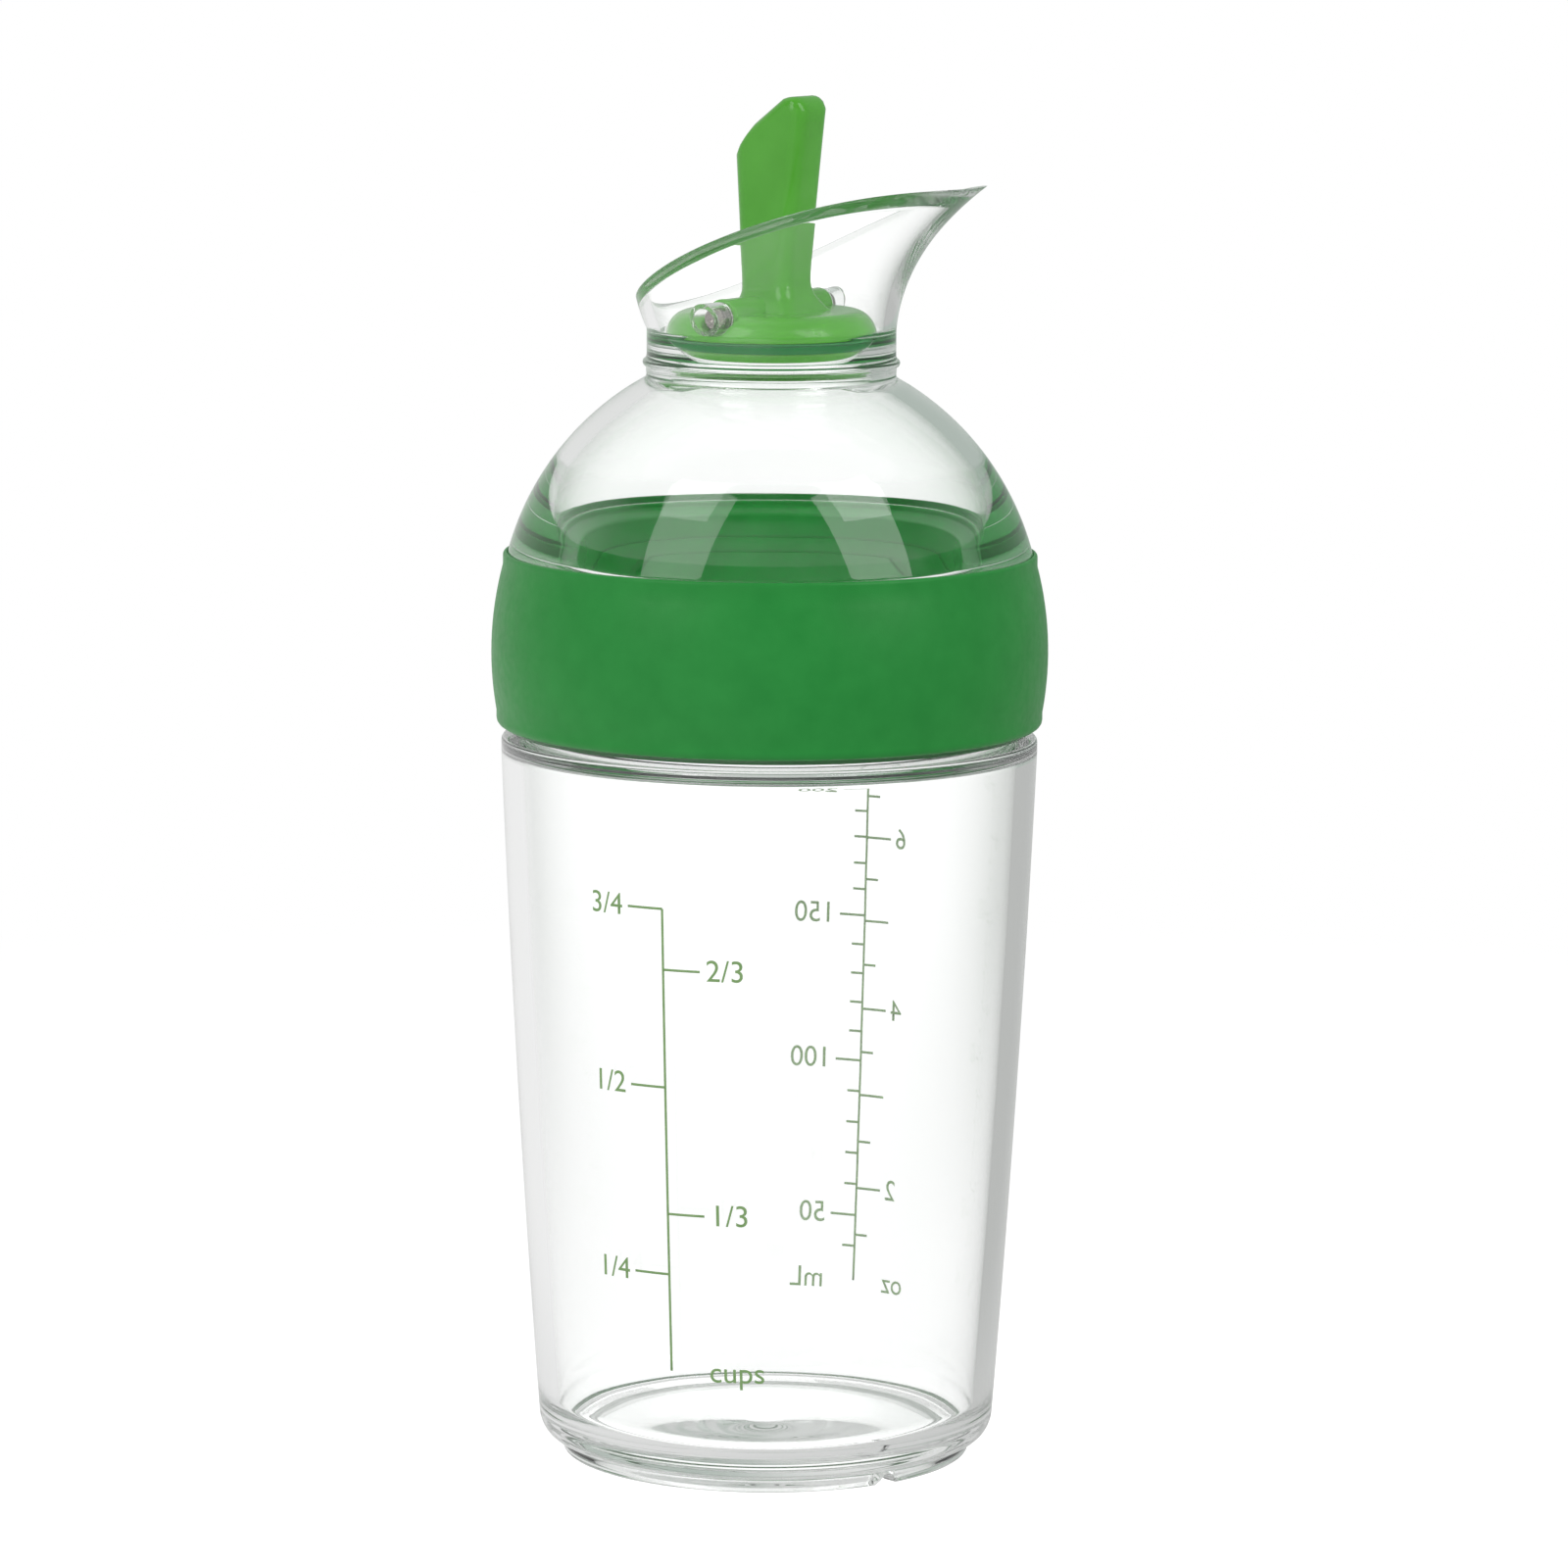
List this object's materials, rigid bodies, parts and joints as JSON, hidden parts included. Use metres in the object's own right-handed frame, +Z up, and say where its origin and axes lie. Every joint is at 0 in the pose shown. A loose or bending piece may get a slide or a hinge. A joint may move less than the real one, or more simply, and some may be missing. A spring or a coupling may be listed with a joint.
{
  "type": "salad dressing shaker bottle",
  "caption": "Clear tapered shaker bottle with a screw lid, a pouring funnel and a tilting lever stopper for dressings and sauces.",
  "frame": {"origin": "on the bottle's axis, at the plane that the foot ring stands on", "axes": "+Z up along the bottle, +X towards the tip of the pouring lip, Y along the stopper's pin"},
  "size_m": [0.069, 0.069, 0.1698],
  "materials": {
    "clear_body": "clear moulded plastic, glossy",
    "clear_lid": "clear moulded plastic, glossy",
    "green_plastic": "moulded green plastic, satin gloss",
    "soft_grip": "soft-touch green sleeve, matte",
    "gasket_silicone": "translucent white silicone",
    "seal_silicone": "dark green silicone, matte",
    "lever_green": "moulded green plastic, glossy",
    "pin_steel": "turned stainless steel"
  },
  "bodies": {
    "bottle": {"bottle": "clear_body"},
    "lid_lift": {"lid_gasket": "gasket_silicone"},
    "lid": {"thread_ring": "green_plastic", "spout_dome": "clear_lid", "grip_band": "soft_grip"},
    "stopper": {"stopper_lever": "lever_green", "stopper_seal": "seal_silicone", "hinge_pin": "pin_steel"}
  },
  "joints": [
    {"name": "lid_rise", "type": "slide", "parent": "bottle", "child": "lid_lift", "axis": [0, 0, 1], "range_m": [0, 0.0035]},
    {"name": "lid_turn", "type": "hinge", "parent": "lid_lift", "child": "lid", "pos_m": [0, 0, 0.1], "axis": [0, 0, 1], "range_deg": [0, 300]},
    {"name": "stopper_tilt", "type": "hinge", "parent": "lid", "child": "stopper", "pos_m": [0, 0, 0.1432], "axis": [0, -1, 0], "range_deg": [0, 60]}
  ],
  "couplings": [
    {"joint": "lid_rise", "follows": "lid_turn", "m_per_rad": 0.00066845}
  ]
}
